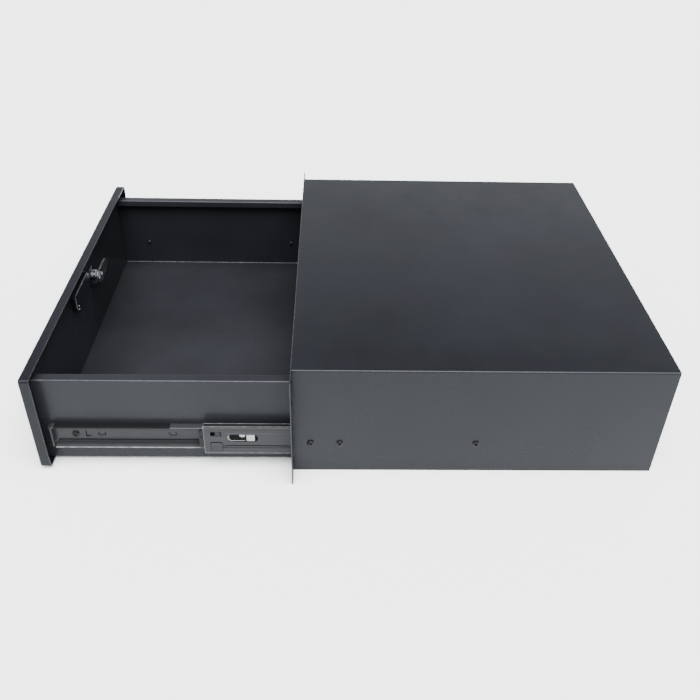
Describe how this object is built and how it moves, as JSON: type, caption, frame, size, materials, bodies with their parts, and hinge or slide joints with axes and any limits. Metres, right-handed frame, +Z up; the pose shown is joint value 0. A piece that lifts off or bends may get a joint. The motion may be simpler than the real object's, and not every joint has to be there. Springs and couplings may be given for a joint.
{
  "type": "sliding rack drawer",
  "caption": "Rack drawer in a folded steel case with ears: a tray on full-extension ball slides, a shallow pan front with a finger pull, and a cam lock.",
  "frame": {"origin": "middle of the front edge of the case's underside: X at the middle, Y at the front face of the ears, Z at the underside", "axes": "+X to the right across the case seen from the front, +Y into the rack, +Z up"},
  "size_m": [0.4826, 0.6468, 0.1325],
  "materials": {
    "case_paint": "semi-gloss black powder coat",
    "panel_paint": "semi-gloss black powder coat",
    "tray_paint": "semi-gloss black powder coat",
    "pull_paint": "gloss black",
    "case_rail_steel": "black coated steel",
    "middle_rail_steel": "black coated steel",
    "drawer_rail_steel": "black coated steel",
    "cage_steel": "thin pressed steel strip",
    "ball_steel": "polished bearing steel",
    "stop_plastic": "moulded plastic",
    "white_nylon": "moulded white nylon",
    "bumper_rubber": "soft rubber",
    "screw_black": "black oxide steel",
    "lock_chrome": "bright plated zinc"
  },
  "bodies": {
    "case": {"case_cover": "case_paint", "case_bottom": "case_paint", "case_back": "case_paint", "case_rail_right": "case_rail_steel", "case_rail_left": "case_rail_steel", "case_screws": "screw_black", "rear_bumper_right": "bumper_rubber", "rear_bumper_left": "bumper_rubber"},
    "drawer": {"tray_body": "tray_paint", "tray_front": "tray_paint", "tray_back": "tray_paint", "front_panel": "panel_paint", "finger_pull": "pull_paint", "drawer_rail_right": "drawer_rail_steel", "drawer_rail_left": "drawer_rail_steel", "tray_screws": "screw_black", "lock_housing": "lock_chrome", "lock_nut": "lock_chrome"},
    "lock": {"lock_plug": "lock_chrome", "lock_cam": "lock_chrome", "cam_nut": "lock_chrome"},
    "middle_right": {"middle_rail_right": "middle_rail_steel", "front_stop_right": "stop_plastic", "slide_latch_right": "white_nylon"},
    "outer_cage_right_body": {"outer_cage_right": "cage_steel", "outer_balls_right": "ball_steel"},
    "inner_cage_right_body": {"inner_cage_right": "cage_steel", "inner_balls_right": "ball_steel"},
    "middle_left": {"middle_rail_left": "middle_rail_steel", "front_stop_left": "stop_plastic", "slide_latch_left": "white_nylon"},
    "outer_cage_left_body": {"outer_cage_left": "cage_steel", "outer_balls_left": "ball_steel"},
    "inner_cage_left_body": {"inner_cage_left": "cage_steel", "inner_balls_left": "ball_steel"}
  },
  "joints": [
    {"name": "middle_right_slide", "type": "slide", "parent": "case", "child": "middle_right", "axis": [0, -1, 0], "range_m": [-0.093, 0.082]},
    {"name": "middle_left_slide", "type": "slide", "parent": "case", "child": "middle_left", "axis": [0, -1, 0], "range_m": [-0.093, 0.082]},
    {"name": "drawer_slide", "type": "slide", "parent": "middle_right", "child": "drawer", "axis": [0, -1, 0], "range_m": [-0.159, 0.016]},
    {"name": "outer_cage_right_roll", "type": "slide", "parent": "case", "child": "outer_cage_right_body", "axis": [0, -1, 0], "range_m": [-0.0465, 0.041]},
    {"name": "outer_cage_left_roll", "type": "slide", "parent": "case", "child": "outer_cage_left_body", "axis": [0, -1, 0], "range_m": [-0.0465, 0.041]},
    {"name": "inner_cage_right_roll", "type": "slide", "parent": "middle_right", "child": "inner_cage_right_body", "axis": [0, -1, 0], "range_m": [-0.0795, 0.008]},
    {"name": "inner_cage_left_roll", "type": "slide", "parent": "middle_left", "child": "inner_cage_left_body", "axis": [0, -1, 0], "range_m": [-0.0795, 0.008]},
    {"name": "lock_turn", "type": "hinge", "parent": "drawer", "child": "lock", "pos_m": [-0.033, -0.2506, 0.083], "axis": [0, 1, 0], "range_deg": [0, 90]}
  ],
  "couplings": [
    {"joint": "middle_left_slide", "follows": "middle_right_slide", "ratio": 1},
    {"joint": "outer_cage_right_roll", "follows": "middle_right_slide", "ratio": 0.5},
    {"joint": "outer_cage_left_roll", "follows": "middle_right_slide", "ratio": 0.5},
    {"joint": "inner_cage_right_roll", "follows": "drawer_slide", "ratio": 0.5},
    {"joint": "inner_cage_left_roll", "follows": "drawer_slide", "ratio": 0.5}
  ]
}
